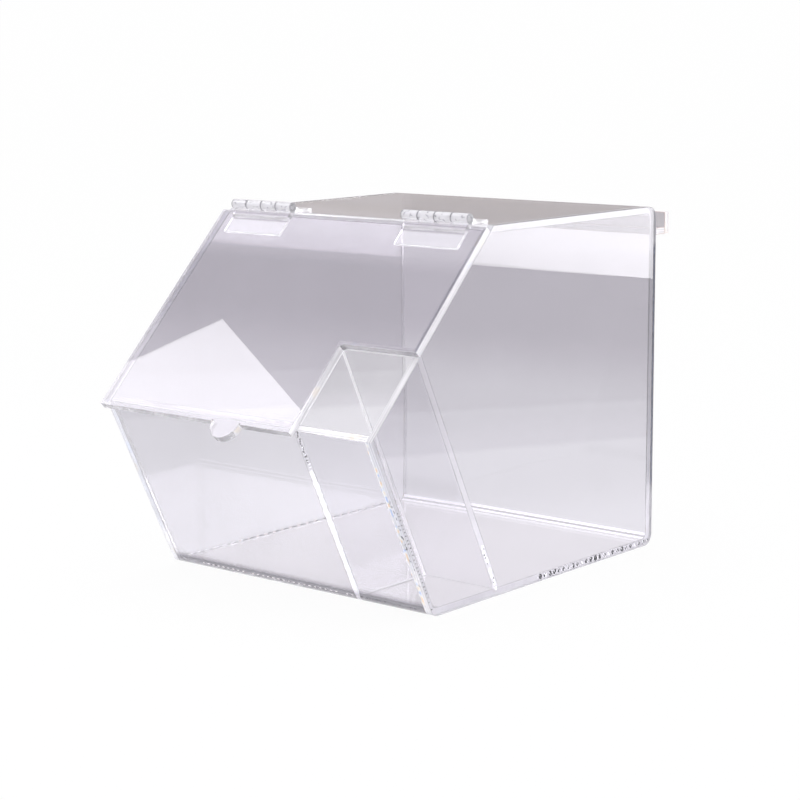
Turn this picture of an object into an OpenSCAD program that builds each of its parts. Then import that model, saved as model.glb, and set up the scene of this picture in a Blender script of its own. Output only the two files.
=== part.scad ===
// Clear acrylic candy bin with a slanted lift-up lid and a scoop pocket.
// Origin: centre of the floor's underside. +Z is up and the lid faces -Y.

/* [Bin] */
// Outside width of the bin, over both side panels
bin_w = 190; // [150:1:320]
// Height from the underside of the floor to the top face
bin_h = 199; // [170:1:260]
// Depth of the floor, from the front bottom corner to the back face
base_d = 205; // [170:1:320]
// How far the nose stands out in front of the front bottom corner
nose_out = 48; // [30:1:65]
// Height of the nose above the underside
nose_h = 99; // [80:1:115]
// How far the top panel's front edge lies behind the front bottom corner
top_setback = 51; // [40:1:80]
// Thickness of the body sheets
sheet_t = 4; // [3:0.5:5]
// Outside radius of the bends in the wrapped sheet
bend_r = 7; // [6:0.5:12]

/* [Scoop pocket] */
// Clear width of the pocket, from its side wall to the right side panel
pocket_w = 46; // [30:1:60]
// Clear depth of the pocket, square to the front panel
pocket_d = 46; // [30:1:55]

/* [Lid] */
// Thickness of the lid sheet
lid_t = 4; // [3:0.5:5]
// How far the lid's lower edge stands past the nose
lid_overhang = 3.5; // [1:0.5:8]
// Room between the lid's upper edge and the line of the top face
lid_top_clear = 0.5; // [0.3:0.1:2]
// How far the edges of the lid's notch stay back from the pocket's mouth
notch_lap = 0.5; // [0:0.1:2]
// Radius in the notch's inner corner
notch_r = 3; // [1:0.5:8]
// Radius of the finger tab on the lower edge
tab_r = 9.5; // [6:0.5:14]
// Radius of the relief nick at each root of the finger tab
nick_r = 0.8; // [0.4:0.1:1.5]

/* [Hinges] */
// Width of each hinge along its pin
hinge_w = 45; // [32:1:60]
// Distance from each end of the lid to its hinge
hinge_inset = 10; // [4:1:20]
// Height of the pin's axis above the face that a leaf is cemented to
hinge_rise = 3.4; // [3.2:0.1:5]
// Reach of a leaf from the pin's axis
hinge_reach = 18.5; // [16:0.5:24]
// How far a leaf's plate stays short of the far end of the barrel
leaf_inset = 2.6; // [0:0.1:5]
// Outside diameter of the knuckles
barrel_d = 5.4; // [4.6:0.1:6]
// Diameter of the pin
pin_d = 2.4; // [1.6:0.1:3]
// Running clearance round the pin
pin_clear = 0.05; // [0.02:0.01:0.1]
// How far each end of the pin lies inside the barrel
pin_recess = 0.5; // [0.2:0.1:1.5]
// Gap between neighbouring knuckles
knuckle_gap = 0.3; // [0.3:0.1:0.6]
// Thickness of a leaf beside its knuckles
leaf_t = 2.9; // [2.4:0.1:3]
// Thickness of a leaf along its free edge
leaf_edge_t = 1.6; // [1:0.1:2.2]
// Distance from the pin's axis at which a leaf grows thin
leaf_step = 7; // [6:0.5:10]
// Length of the bevel from the thick to the thin part of a leaf
leaf_bevel = 1.5; // [0.5:0.5:4]

/* [Rear rail] */
// Clear width of the rail's channel
channel_w = 9; // [5:0.5:16]
// Height of the rail's outer strip
rail_h = 12.5; // [9:0.5:20]
// How far the rail's outer strip ends below the top face
rail_drop = 4; // [2:0.5:12]
// Thickness of the rail's strips
rail_t = 4; // [3:0.5:5]

/* [Hidden] */
$fn = 96;

clear_sheet = [0.86, 0.87, 0.91];
clear_moulded = [0.93, 0.93, 0.95];
pin_colour = [0.80, 0.81, 0.84];

// Corners of the side outline, as [y, z]
front_bottom = [-base_d / 2, 0];
nose = front_bottom + [-nose_out, nose_h];
top_front = front_bottom + [top_setback, bin_h];
top_back = front_bottom + [base_d, bin_h];
back_bottom = front_bottom + [base_d, 0];

// Slanted opening: its angle above level, its length and its directions
lid_angle = atan2(bin_h - nose_h, nose_out + top_setback);
slope_len = norm(top_front - nose);
down_slope = [-cos(lid_angle), -sin(lid_angle)];
off_slope = [-sin(lid_angle), cos(lid_angle)];

// Front panel: its direction upwards and the square direction into the bin
up_front = (nose - front_bottom) / norm(nose - front_bottom);
into_bin = [up_front[1], -up_front[0]];
nose_angle = atan2(nose_h, nose_out) + lid_angle;

inner_w = bin_w - 2 * sheet_t;
pocket_x = inner_w / 2 - pocket_w;
pocket_front = sheet_t;
pocket_back = sheet_t + pocket_d;

// Lid edges, measured down the slope from the top panel's front edge
lid_top = lid_t / tan(lid_angle) + lid_top_clear;
lid_bottom = slope_len + lid_overhang;
notch_top = slope_len - pocket_back / sin(nose_angle) - notch_lap;
notch_x = pocket_x - notch_lap;

// Hinge axis, at the same height above the top face and the lid's face
axis_y = top_front[0] - lid_t / sin(lid_angle) - hinge_rise * tan(lid_angle / 2);
axis_z = bin_h + hinge_rise;
hinge_x = bin_w / 2 - hinge_inset - hinge_w / 2;

barrel_r = barrel_d / 2;
knuckle_count = 4;
knuckle_pitch = hinge_w / knuckle_count;
knuckle_foot = 1;
leaf_start = norm([knuckle_foot, hinge_rise]) + knuckle_gap;
leaf_join = 1;

rail_bottom = bin_h - rail_drop - rail_h;

// Extrudes an outline in Y and Z from x0 to x1
module along_x(x0, x1) {
    translate([x0, 0, 0])
        rotate([90, 0, 90])
            linear_extrude(x1 - x0)
                children();
}

// Direction from one point to another
function unit(from, to) = (to - from) / norm(to - from);

// Half of the angle at a corner between its two neighbours
function half_angle(before, corner, after) =
    acos(unit(corner, before) * unit(corner, after)) / 2;

// The point on the side towards a neighbour where the corner's arc starts
function arc_start(corner, towards, half, r) =
    corner + unit(corner, towards) * r / tan(half);

// Centre of the arc that rounds a corner
function arc_centre(before, corner, after, half, r) =
    corner + unit([0, 0], unit(corner, before) + unit(corner, after)) * r / sin(half);

// Outline with sharp first and last points, and three rounded corners between
module rounded_outline(points, r) {
    corners = [1, 2, 3];
    half = [for (i = corners) half_angle(points[i - 1], points[i], points[i + 1])];
    polygon(concat(
        [points[0]],
        [for (i = corners, side = [-1, 1])
            arc_start(points[i], points[i + side], half[i - 1], r)],
        [points[4]]
    ));
    for (i = corners)
        translate(arc_centre(points[i - 1], points[i], points[i + 1], half[i - 1], r))
            circle(r);
}

// Side outline of the whole bin, open side slanted
module case_outline() {
    rounded_outline([nose, front_bottom, back_bottom, top_back, top_front], bend_r);
}

// Space inside the wrapped sheet, running out past the slanted opening
module cavity_outline() {
    reach = 4 * sheet_t;
    inner_corner = front_bottom + into_bin * sheet_t
        + up_front * (sheet_t - into_bin[1] * sheet_t) / up_front[1];
    rounded_outline([
        nose + into_bin * sheet_t + up_front * reach,
        inner_corner,
        back_bottom + [-sheet_t, sheet_t],
        top_back - [sheet_t, sheet_t],
        top_front - [reach, sheet_t]
    ], bend_r - sheet_t);
}

// Band behind the front panel, between two depths square to the panel
module front_band(from, to) {
    reach = bin_h + base_d;
    polygon([
        front_bottom + into_bin * from - up_front * reach,
        front_bottom + into_bin * from + up_front * reach,
        front_bottom + into_bin * to + up_front * reach,
        front_bottom + into_bin * to - up_front * reach
    ]);
}

// Section of the bin's inside between two depths behind the front panel
module pocket_section(from, to) {
    intersection() {
        case_outline();
        cavity_outline();
        front_band(from, to);
    }
}

// One sheet bent three times: front panel, floor, back and top
module body_wrap() {
    color(clear_sheet)
        along_x(-inner_w / 2, inner_w / 2)
            difference() {
                case_outline();
                cavity_outline();
            }
}

// Side panel, cemented over the ends of the wrapped sheet
module side_panel(x0) {
    color(clear_sheet)
        along_x(x0, x0 + sheet_t)
            case_outline();
}

module side_panel_left() {
    side_panel(-bin_w / 2);
}

module side_panel_right() {
    side_panel(bin_w / 2 - sheet_t);
}

// Wall between the candy space and the scoop pocket
module pocket_side_wall() {
    color(clear_sheet)
        along_x(pocket_x - sheet_t, pocket_x)
            pocket_section(pocket_front, pocket_back);
}

// Wall behind the scoop pocket, parallel to the front panel
module pocket_back_wall() {
    color(clear_sheet)
        along_x(pocket_x - sheet_t, inner_w / 2)
            pocket_section(pocket_back, pocket_back + sheet_t);
}

// Strip that stands out from the back panel and closes the channel below
module rear_rail_web() {
    color(clear_sheet)
        translate([-bin_w / 2, top_back[0], rail_bottom])
            cube([bin_w, channel_w, rail_t]);
}

// Upright strip that closes the channel behind
module rear_rail_lip() {
    color(clear_sheet)
        translate([-bin_w / 2, top_back[0] + channel_w, rail_bottom])
            cube([bin_w, rail_t, rail_h]);
}

// Lid sheet seen square on, with x across and -y down the slope
module lid_outline() {
    difference() {
        union() {
            translate([-bin_w / 2, -lid_bottom])
                square([bin_w, lid_bottom - lid_top]);
            translate([0, -lid_bottom])
                circle(tab_r);
        }
        notch_outline();
        for (side = [-1, 1])
            translate([side * (tab_r + nick_r / 2), -lid_bottom])
                circle(nick_r);
    }
}

// Corner that the lid leaves open over the scoop pocket, its inner corner round
module notch_outline() {
    reach = lid_bottom + bin_w;
    translate([notch_x, -notch_top]) {
        translate([notch_r, -reach])
            square(reach);
        translate([0, -notch_r - reach])
            square(reach);
        translate([notch_r, -notch_r])
            circle(notch_r);
    }
}

module lid() {
    color(clear_sheet)
        translate([0, top_front[0], bin_h])
            rotate([lid_angle, 0, 0])
                linear_extrude(lid_t)
                    lid_outline();
}

// Section of a leaf's plate beyond the distance start from the pin's axis
module plate_section(start) {
    polygon([
        [-start, -hinge_rise],
        [-hinge_reach, -hinge_rise],
        [-hinge_reach, leaf_edge_t - hinge_rise],
        [-leaf_step - leaf_bevel, leaf_edge_t - hinge_rise],
        [-leaf_step, leaf_t - hinge_rise],
        [-start, leaf_t - hinge_rise]
    ]);
}

// Section of the foot that joins a knuckle to its plate
module foot_section() {
    polygon([
        [0, 0],
        [0, -barrel_r + leaf_edge_t / 2],
        [-knuckle_foot, -hinge_rise],
        [-leaf_start - leaf_join, -hinge_rise],
        [-leaf_start - leaf_join, leaf_t - hinge_rise]
    ]);
}

// Hinge leaf along the pin's axis, with its plate towards -y, the face that is
// cemented at z = -hinge_rise, and the second and fourth knuckles from the left
module hinge_leaf() {
    color(clear_moulded)
        difference() {
            union() {
                along_x(leaf_inset - hinge_w / 2, hinge_w / 2)
                    plate_section(leaf_start);
                for (k = [1 : 2 : knuckle_count - 1])
                    knuckle(k);
            }
            translate([-hinge_w, 0, 0])
                rotate([0, 90, 0])
                    cylinder(d = pin_d + 2 * pin_clear, h = 2 * hinge_w);
        }
}

// One knuckle and its foot, the outermost one flush with the end of the barrel
module knuckle(k) {
    x0 = k * knuckle_pitch - hinge_w / 2 + knuckle_gap / 2;
    x1 = x0 + knuckle_pitch - (k == knuckle_count - 1 ? knuckle_gap / 2 : knuckle_gap);
    along_x(x0, x1)
        foot_section();
    translate([x0, 0, 0])
        rotate([0, 90, 0])
            cylinder(d = barrel_d, h = x1 - x0);
}

// Leaf on the lid
module lid_leaf(x) {
    translate([x, axis_y, axis_z])
        rotate([lid_angle, 0, 0])
            hinge_leaf();
}

// Leaf on the top panel, the same moulding turned round
module top_leaf(x) {
    translate([x, axis_y, axis_z])
        rotate([0, 0, 180])
            hinge_leaf();
}

module hinge_pin(x) {
    color(pin_colour)
        translate([x - hinge_w / 2 + pin_recess, axis_y, axis_z])
            rotate([0, 90, 0])
                cylinder(d = pin_d, h = hinge_w - 2 * pin_recess);
}

body_wrap();
side_panel_left();
side_panel_right();
pocket_side_wall();
pocket_back_wall();
rear_rail_web();
rear_rail_lip();
lid();
lid_leaf(-hinge_x);  // hinge_left_lid_leaf
top_leaf(-hinge_x);  // hinge_left_top_leaf
hinge_pin(-hinge_x);  // hinge_left_pin
lid_leaf(hinge_x);  // hinge_right_lid_leaf
top_leaf(hinge_x);  // hinge_right_top_leaf
hinge_pin(hinge_x);  // hinge_right_pin
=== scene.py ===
"""Clear acrylic candy bin with a scoop pocket and a slanted lift-up lid.

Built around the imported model, in metres, with +Z up and the lid facing -Y.
"""

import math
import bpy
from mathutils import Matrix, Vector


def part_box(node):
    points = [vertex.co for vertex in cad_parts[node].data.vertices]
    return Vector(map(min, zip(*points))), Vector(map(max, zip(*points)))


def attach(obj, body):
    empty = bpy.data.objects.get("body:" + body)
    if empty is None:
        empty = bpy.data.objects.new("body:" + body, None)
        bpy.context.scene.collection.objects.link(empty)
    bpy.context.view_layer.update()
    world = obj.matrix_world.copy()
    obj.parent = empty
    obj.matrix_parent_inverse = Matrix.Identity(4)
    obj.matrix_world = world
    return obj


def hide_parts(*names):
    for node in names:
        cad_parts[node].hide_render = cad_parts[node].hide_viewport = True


bl_info = {
    "name": "Clear Candy Bin",
    "version": (1, 0, 0),
    "blender": (4, 5, 0),
    "location": "3D View > Sidebar > Candy Bin",
    "description": "Builds a clear acrylic candy bin with a scoop pocket and a lift-up lid",
    "category": "Add Mesh",
}

from types import SimpleNamespace

import bmesh
import bpy
from bpy.props import (
    FloatProperty, FloatVectorProperty, IntProperty, PointerProperty,
)
from mathutils import Matrix, Vector

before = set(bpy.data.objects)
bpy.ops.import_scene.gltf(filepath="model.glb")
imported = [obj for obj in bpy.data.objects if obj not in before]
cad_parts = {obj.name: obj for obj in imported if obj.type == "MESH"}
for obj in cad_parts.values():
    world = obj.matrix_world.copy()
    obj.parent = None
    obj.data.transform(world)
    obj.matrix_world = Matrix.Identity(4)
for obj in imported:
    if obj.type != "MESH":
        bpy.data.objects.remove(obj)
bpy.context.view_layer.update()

MM = 0.001
WELD = 1e-6
X_AXIS = Vector((1, 0, 0))
Y_AXIS = Vector((0, 1, 0))
Z_AXIS = Vector((0, 0, 1))
BIN = "bin"
LID = "lid"
# The vertex attribute that holds how far through its sheet a point lies.
THROUGH = "through"
# Knuckles on each hinge.
KNUCKLES = 4
# Steps of the seed between two rows of joint marks.
ROW_SEEDS = 10
FLOOR_LEVEL = -0.1 * MM


def node_points(node):
    """The corners of a CAD node's mesh."""
    return [vertex.co.copy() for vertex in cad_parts[node].data.vertices]


def bin_places():
    """Places on the bin that the CAD parts give, as vectors with x = 0."""
    panel_low, panel_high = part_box("side_panel_right")
    wall_low, wall_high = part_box("pocket_side_wall")
    height = panel_high.z
    back = panel_high.y
    corners = node_points("side_panel_right")
    foremost = min(corners, key=lambda p: p.y)
    topmost = min((p for p in corners if p.z > height - WELD), key=lambda p: p.y)
    nose = Vector((0, foremost.y, foremost.z))
    top_front = Vector((0, topmost.y, topmost.z))
    front_bottom = Vector((0, -back, 0))
    up_front = (nose - front_bottom).normalized()
    down_slope = (nose - top_front).normalized()
    into_bin = up_front.cross(X_AXIS)
    depths = [(Vector((0, p.y, p.z)) - front_bottom).dot(into_bin) for p in node_points("pocket_back_wall")]
    return SimpleNamespace(
        sheet=panel_high.x - panel_low.x, inner_x=panel_low.x, height=height, back=back,
        wall_low_x=wall_low.x, wall_high_x=wall_high.x,
        nose=nose, top_front=top_front, front_bottom=front_bottom,
        up_front=up_front, into_bin=into_bin, down_slope=down_slope, off_slope=down_slope.cross(X_AXIS),
        pocket_back=max(depths),
    )


Bin = bin_places()


def behind_front(depth, height):
    """The point at a depth square to the front panel and a height above the table."""
    along = (height - Bin.into_bin.z * depth) / Bin.up_front.z
    return Bin.front_bottom + Bin.into_bin * depth + Bin.up_front * along


def under_slope(depth):
    """The point at a depth square to the front panel, on the slanted opening."""
    start = Bin.front_bottom + Bin.into_bin * depth
    reach = (Bin.nose - start).dot(Bin.off_slope) / Bin.up_front.dot(Bin.off_slope)
    return start + Bin.up_front * reach


class CANDYBIN_PG_sheet(bpy.types.PropertyGroup):
    """Sizes and colours of the cut acrylic sheets; the colours of the faces are painted shade"""

    bend_radius: FloatProperty(
        name="Bend radius", description="Outside radius of the bends in the wrapped sheet",
        default=7 * MM, min=5 * MM, max=12 * MM, unit="LENGTH", precision=4)
    chamfer: FloatProperty(
        name="Edge break", description="Width of the polished break along each cut edge",
        default=0.3 * MM, min=0.1 * MM, max=0.8 * MM, unit="LENGTH", precision=5)
    air_gap: FloatProperty(
        name="Air gap", description="Gap between two sheets that lie face to face",
        default=0.03 * MM, min=0.01 * MM, max=0.1 * MM, unit="LENGTH", precision=5)
    # The colours below, up to the rail's, are painted shade for the grey studio seen through the clear
    # sheet, set by face and by height. The steps and tilt place it on a side panel.
    panel_high_painted_shade: FloatVectorProperty(
        name="Panel high tint", description="Colour that the upper part of a side panel lets through",
        default=(0.645, 0.627, 0.667), size=3, min=0, max=1, subtype="COLOR")
    panel_middle_painted_shade: FloatVectorProperty(
        name="Panel middle tint", description="Colour that the middle of a side panel lets through",
        default=(0.73, 0.715, 0.755), size=3, min=0, max=1, subtype="COLOR")
    panel_low_painted_shade: FloatVectorProperty(
        name="Panel low tint", description="Colour that the lower part of a side panel lets through",
        default=(0.848, 0.836, 0.873), size=3, min=0, max=1, subtype="COLOR")
    panel_step_low: FloatProperty(
        name="Panel low step", description="Height at which the low tint of a side panel ends",
        default=75 * MM, min=0, max=0.2, unit="LENGTH")
    panel_step_high: FloatProperty(
        name="Panel high step", description="Height at which the high tint of a side panel starts",
        default=97 * MM, min=0, max=0.2, unit="LENGTH")
    panel_tilt: FloatProperty(
        name="Panel tilt", description="Drop of the tint's steps for each metre towards the back",
        default=0.105, min=-1, max=1)
    wrap_high_painted_shade: FloatVectorProperty(
        name="Wrap high tint", description="Colour that the top of the back lets through",
        default=(0.71, 0.69, 0.735), size=3, min=0, max=1, subtype="COLOR")
    front_low_painted_shade: FloatVectorProperty(
        name="Front low tint", description="Colour that the foot of the front lets through",
        default=(0.83, 0.82, 0.855), size=3, min=0, max=1, subtype="COLOR")
    front_high_painted_shade: FloatVectorProperty(
        name="Front high tint", description="Colour that the front's upper left corner lets through",
        default=(0.785, 0.775, 0.81), size=3, min=0, max=1, subtype="COLOR")
    floor_painted_shade: FloatVectorProperty(
        name="Floor tint", description="Colour that the bin's floor lets through",
        default=(0.955, 0.935, 0.965), size=3, min=0, max=1, subtype="COLOR")
    wrap_low_painted_shade: FloatVectorProperty(
        name="Wrap low tint", description="Colour that the foot of the back lets through",
        default=(0.875, 0.865, 0.90), size=3, min=0, max=1, subtype="COLOR")
    lid_high_painted_shade: FloatVectorProperty(
        name="Lid high tint", description="Colour that the top of the lid lets through",
        default=(0.72, 0.70, 0.745), size=3, min=0, max=1, subtype="COLOR")
    lid_low_painted_shade: FloatVectorProperty(
        name="Lid low tint", description="Colour that the foot of the lid lets through",
        default=(0.84, 0.82, 0.865), size=3, min=0, max=1, subtype="COLOR")
    inner_painted_shade: FloatVectorProperty(
        name="Inner tint", description="Colour that the pocket's walls let through",
        default=(0.975, 0.97, 0.985), size=3, min=0, max=1, subtype="COLOR")
    waviness: FloatProperty(
        name="Waviness", description="Strength of the slow waves in the sheet's faces",
        default=0.05, min=0, max=1)
    top_painted_shade: FloatVectorProperty(
        name="Top tint", description="Colour that the top face lets through",
        default=(0.70, 0.655, 0.66), size=3, min=0, max=1, subtype="COLOR")
    rail_painted_shade: FloatVectorProperty(
        name="Rail tint", description="Colour that the rear rail's strips let through",
        default=(0.60, 0.57, 0.60), size=3, min=0, max=1, subtype="COLOR")
    edge_colour: FloatVectorProperty(
        name="Edge colour", description="Colour of the cut edges",
        default=(0.88, 0.87, 0.90), size=3, min=0, max=1, subtype="COLOR")


class CANDYBIN_PG_joint(bpy.types.PropertyGroup):
    """Sizes of the cement beads and of the marks left in the joints"""

    bead_radius: FloatProperty(
        name="Bead radius", description="Radius of the cement bead in a corner",
        default=0.15 * MM, min=0.05 * MM, max=1 * MM, unit="LENGTH", precision=5)
    mark_scale: FloatProperty(
        name="Mark size", description="Size of the bubbles and streaks in the joints",
        default=1.0, min=0.2, max=3, subtype="FACTOR")
    seed: IntProperty(
        name="Seed", description="Seed of everything that is random in the joints",
        default=7, min=0, max=1000)


class CANDYBIN_PG_hinge(bpy.types.PropertyGroup):
    """Sizes and colours of the moulded hinges"""

    rounding: FloatProperty(
        name="Rounding", description="Rounding of the moulded edges",
        default=0.25 * MM, min=0.05 * MM, max=0.6 * MM, unit="LENGTH", precision=5)
    colour: FloatVectorProperty(
        name="Colour", description="Colour of the moulded leaves",
        default=(0.96, 0.955, 0.98), size=3, min=0, max=1, subtype="COLOR")


class CANDYBIN_PG_studio(bpy.types.PropertyGroup):
    """Camera, floor and lamps"""

    camera_place: FloatVectorProperty(
        name="Camera place", description="Where the camera stands",
        default=(0.754187, -0.919203, 0.295886), size=3, unit="LENGTH")
    azimuth: FloatProperty(
        name="Azimuth", description="Turn of the camera round the bin",
        default=math.radians(39.813), subtype="ANGLE")
    elevation: FloatProperty(
        name="Elevation", description="Height of the camera as an angle",
        default=math.radians(9.825), subtype="ANGLE")
    roll: FloatProperty(
        name="Roll", description="Turn of the camera about its own axis",
        default=math.radians(-0.313), subtype="ANGLE")
    lens: FloatProperty(
        name="Lens", description="Focal length in millimetres on a 36 mm sensor",
        default=94.56, min=10, max=300)
    floor_shadow: FloatProperty(
        name="Floor shadow", description="Share of the floor's look that the lamps light",
        default=0.04, min=0, max=1, subtype="FACTOR")
    horizon_colour: FloatVectorProperty(
        name="Horizon colour", description="Colour of the studio just above the floor",
        default=(0.52, 0.49, 0.495), size=3, min=0, max=1, subtype="COLOR")
    room_colour: FloatVectorProperty(
        name="Room colour", description="Colour of the studio above the floor",
        default=(0.54, 0.53, 0.56), size=3, min=0, max=1, subtype="COLOR")
    softbox_light: FloatProperty(
        name="Softbox light", description="Brightness of the softboxes beside white",
        default=4.0, min=0, max=20)


class CANDYBIN_PG_settings(bpy.types.PropertyGroup):
    """All settings of the candy bin"""

    sheet: PointerProperty(type=CANDYBIN_PG_sheet)
    joint: PointerProperty(type=CANDYBIN_PG_joint)
    hinge: PointerProperty(type=CANDYBIN_PG_hinge)
    studio: PointerProperty(type=CANDYBIN_PG_studio)


def settings():
    """The scene's candy bin settings."""
    return bpy.context.scene.candy_bin


def put(tree, kind, inputs=None, **values):
    """Adds a node to a tree, sets its values, and sets or links its inputs."""
    made = tree.nodes.new(kind)
    for name, value in values.items():
        setattr(made, name, value)
    for key, value in (inputs or {}).items():
        if isinstance(value, bpy.types.NodeSocket):
            tree.links.new(value, made.inputs[key])
        else:
            made.inputs[key].default_value = value
    return made


def output(tree, kind, inputs=None, **values):
    """The first output of a node that is added to a tree."""
    return put(tree, kind, inputs, **values).outputs[0]


def maths(tree, operation, first, second=0.0, clamp=False):
    """The output of a Math node."""
    return output(tree, "ShaderNodeMath", {0: first, 1: second}, operation=operation, use_clamp=clamp)


def product(tree, first, second):
    """One value times another."""
    return maths(tree, "MULTIPLY", first, second)


def axis(tree, vector, name):
    """The X, Y or Z of a vector."""
    return put(tree, "ShaderNodeSeparateXYZ", {0: vector}).outputs[name]


NUMBER_OPERATIONS = ("DOT_PRODUCT", "DISTANCE", "LENGTH")


def vectors(tree, operation, first, second=(0, 0, 0), scale=None):
    """The output of a Vector Math node, a number for the operations in NUMBER_OPERATIONS."""
    inputs = {0: first}
    if scale is None:
        inputs[1] = second
    else:
        inputs["Scale"] = scale
    made = put(tree, "ShaderNodeVectorMath", inputs, operation=operation)
    return made.outputs["Value" if operation in NUMBER_OPERATIONS else "Vector"]


def blend_colours(tree, factor, first, second, kind="MIX"):
    """The colour output of a Mix node. Plain colours have three numbers."""
    made = put(tree, "ShaderNodeMix", {0: factor}, data_type="RGBA", blend_type=kind)
    for index, value in ((6, first), (7, second)):
        if isinstance(value, bpy.types.NodeSocket):
            tree.links.new(value, made.inputs[index])
        else:
            made.inputs[index].default_value = (*value[:3], 1)
    return made.outputs[2]


def spread(tree, value, low, high, to_low, to_high, smooth=False):
    """The output of a Map Range node."""
    kind = "SMOOTHSTEP" if smooth else "LINEAR"
    inputs = {0: value, 1: low, 2: high, 3: to_low, 4: to_high}
    return output(tree, "ShaderNodeMapRange", inputs, interpolation_type=kind)


def noise(tree, place, scale, detail=2.0, stretch=None):
    """The value of a Noise Texture at a place, stretched along the axes."""
    if stretch is not None:
        place = output(tree, "ShaderNodeMapping", {"Vector": place, "Scale": stretch})
    inputs = {"Vector": place, "Scale": scale, "Detail": detail}
    return output(tree, "ShaderNodeTexNoise", inputs)


def new_material(name):
    """A material with a Principled shader, as (material, tree, shader, object coordinates)."""
    made = bpy.data.materials.new(name)
    made.use_nodes = True
    tree = made.node_tree
    shader = tree.nodes["Principled BSDF"]
    place = put(tree, "ShaderNodeTexCoord").outputs["Object"]
    return made, tree, shader, place


def set_shader(tree, shader, **values):
    """Sets or links the inputs of a shader, with spaces for the underscores in their names."""
    for name, value in values.items():
        socket = shader.inputs[name.replace("_", " ")]
        if isinstance(value, bpy.types.NodeSocket):
            tree.links.new(value, socket)
        else:
            socket.default_value = value


def relief(tree, height, distance, strength):
    """The output of a Bump node."""
    inputs = {"Height": height, "Distance": distance, "Strength": strength}
    return output(tree, "ShaderNodeBump", inputs)


def colour_ramp(tree, factor, stops, kind="LINEAR"):
    """The output of a colour ramp with (position, colour) stops."""
    made = put(tree, "ShaderNodeValToRGB", {0: factor})
    ramp = made.color_ramp
    ramp.interpolation = kind
    while len(ramp.elements) < len(stops):
        ramp.elements.new(1)
    for element, (position, colour) in zip(ramp.elements, stops):
        element.position = position
        element.color = (*colour, 1)
    return made.outputs[0]


def painted_shade_ramp(tree, height, stops):
    """The painted shade at a height, eased between (height, colour) stops."""
    top = stops[-1][0]
    share = maths(tree, "DIVIDE", height, top, clamp=True)
    return colour_ramp(tree, share, [(level / top, colour) for level, colour in stops], "EASE")


ACRYLIC_IOR = 1.49
# Colour of the painted glow that edges, marks, hinges and the bend highlight give off.
EDGE_LIGHT = (0.98, 0.97, 1.0, 1)
CUT_EDGE_CLEARNESS = 0.45
# Painted shade along a hot bend is darkest up to the core's distance from its corner, and gone beyond its
# reach.
BEND_CORE = 4 * MM
BEND_REACH = 10 * MM
BEND_PAINTED_SHADE = (0.27, 0.26, 0.30)
INK = (0.03, 0.03, 0.04)


def set_acrylic(tree, shader, colour, grain, rough, bump, clearness=0.0, glow=0.0):
    """Sets an acrylic shader whose roughness and bump follow one grain.

    rough is the roughness at the grain's low and high ends, and bump its distance and strength.
    clearness is the share that lets light through, and glow a painted glow that stands in for the light
    gathered inside the sheet.
    """
    values = {"Emission_Color": EDGE_LIGHT, "Emission_Strength": glow} if glow else {}
    set_shader(
        tree, shader, Base_Color=colour, IOR=ACRYLIC_IOR, Transmission_Weight=clearness,
        Roughness=spread(tree, grain, 0.3, 0.7, *rough), Normal=relief(tree, grain, *bump), **values)


def sheet_face_material(name, stops, lean=(0, 0, 1), bend=None, streaks=False):
    """Polished face of cast sheet with slow waves, its painted shade changing along a direction.

    bend is a point on a hot bend, along which painted shade darkens the sheet. streaks adds warm and
    cool streaks from side to side.
    """
    made, tree, shader, place = new_material(name)
    # Painted shade that changes along the lean direction.
    painted_shade = painted_shade_ramp(tree, vectors(tree, "DOT_PRODUCT", place, lean), stops)
    if bend is not None:
        # Painted shade that darkens the sheet along the hot bend.
        away = vectors(tree, "DISTANCE", vectors(tree, "MULTIPLY", place, (0, 1, 1)), bend)
        dark = spread(tree, away, BEND_CORE, BEND_REACH, 0.95, 0, smooth=True)
        painted_shade = blend_colours(tree, dark, painted_shade, BEND_PAINTED_SHADE)
    if streaks:
        streak = noise(tree, place, 110, 2, stretch=(0.1, 1, 1))
        warm, cool = (0.76, 0.68, 0.63), (0.62, 0.61, 0.67)
        painted_shade = blend_colours(tree, spread(tree, streak, 0.5, 0.62, 0, 0.5), painted_shade, warm)
        painted_shade = blend_colours(tree, spread(tree, streak, 0.46, 0.34, 0, 0.5), painted_shade, cool)
    cloud = spread(tree, noise(tree, place, 14, 1), 0.3, 0.7, 0.975, 1.0)
    painted_shade = vectors(tree, "SCALE", painted_shade, scale=cloud)
    smudge = spread(tree, noise(tree, place, 60, 3), 0.66, 0.8, 0.0, 0.01)
    waves = noise(tree, place, 9, 1)
    set_shader(
        tree, shader, Base_Color=painted_shade, Roughness=smudge, IOR=ACRYLIC_IOR,
        Transmission_Weight=1.0, Normal=relief(tree, waves, 0.6 * MM, settings().sheet.waviness),
    )
    return made


def prism_colour(tree, turn):
    """Colours of painted prismatic glints, from amber over white to blue, by a number around a half."""
    return colour_ramp(tree, turn, (
        (0.34, (1.0, 0.66, 0.34)), (0.42, (1.0, 0.94, 0.78)), (0.5, (0.98, 0.98, 1.0)),
        (0.58, (0.82, 0.90, 1.0)), (0.66, (0.36, 0.52, 0.95))))


def glinting(tree, place, colour, scale):
    """A colour with painted glints that turn it amber and blue here and there, as a prism's edge does."""
    glint = noise(tree, place, scale, 1)
    amber, blue = (1.0, 0.88, 0.72), (0.78, 0.85, 1.0)
    warm = blend_colours(tree, spread(tree, glint, 0.64, 0.72, 0, 1), colour, amber)
    return blend_colours(tree, spread(tree, glint, 0.34, 0.26, 0, 1), warm, blue)


def near_value(tree, value, centre, width):
    """1 where a value is near a centre, and 0 further off than a width."""
    away = maths(tree, "ABSOLUTE", maths(tree, "SUBTRACT", value, centre))
    return spread(tree, away, width * 0.4, width, 1, 0, smooth=True)


def through_sheet(tree):
    """How far through its sheet a point of an edge lies, from 0 at one face to 1 at the other."""
    return put(tree, "ShaderNodeAttribute", attribute_name=THROUGH).outputs["Fac"]


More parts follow.
